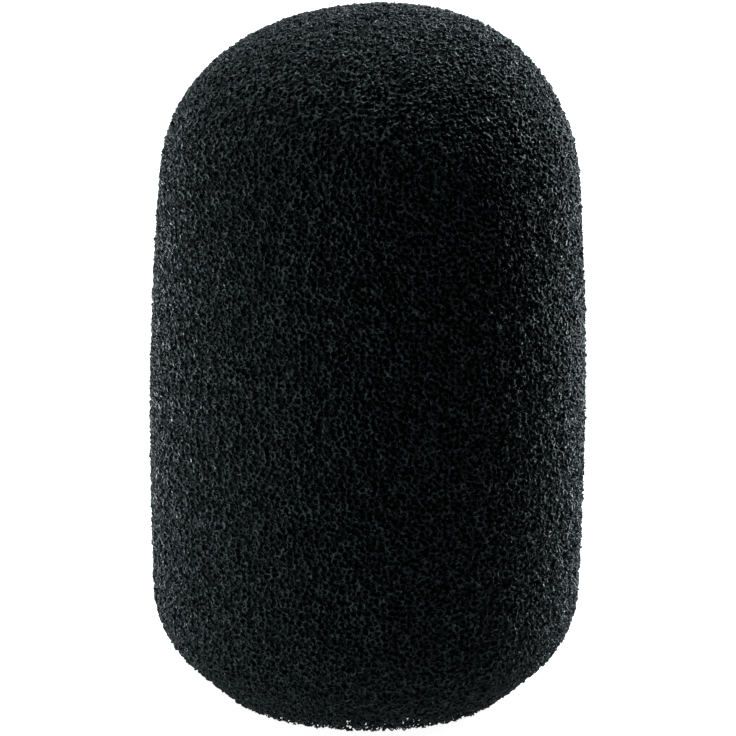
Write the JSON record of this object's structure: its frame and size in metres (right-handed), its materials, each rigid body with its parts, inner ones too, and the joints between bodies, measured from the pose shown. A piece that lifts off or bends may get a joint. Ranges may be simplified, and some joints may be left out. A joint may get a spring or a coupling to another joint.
{
  "type": "microphone windscreen",
  "caption": "Pill-shaped open-cell foam windscreen with a domed crown, tapered lower end, elastic mouth and lined head cavity.",
  "frame": {"origin": "centre of the mouth's end face", "axes": "+Z along the windscreen's axis, from the mouth towards the closed crown; X and Y are equivalent"},
  "size_m": [0.065, 0.065, 0.105],
  "materials": {
    "coarse_foam": "matte",
    "fine_foam": "matte",
    "glue_film": "satin",
    "elastic_ring": "matte"
  },
  "bodies": {
    "root": {"crown_cap": "coarse_foam", "body_sleeve": "coarse_foam", "mouth_collar": "coarse_foam", "crown_bond": "glue_film", "collar_bond": "glue_film", "head_liner": "fine_foam", "crown_pad": "fine_foam", "mouth_ring": "elastic_ring"}
  },
  "joints": []
}
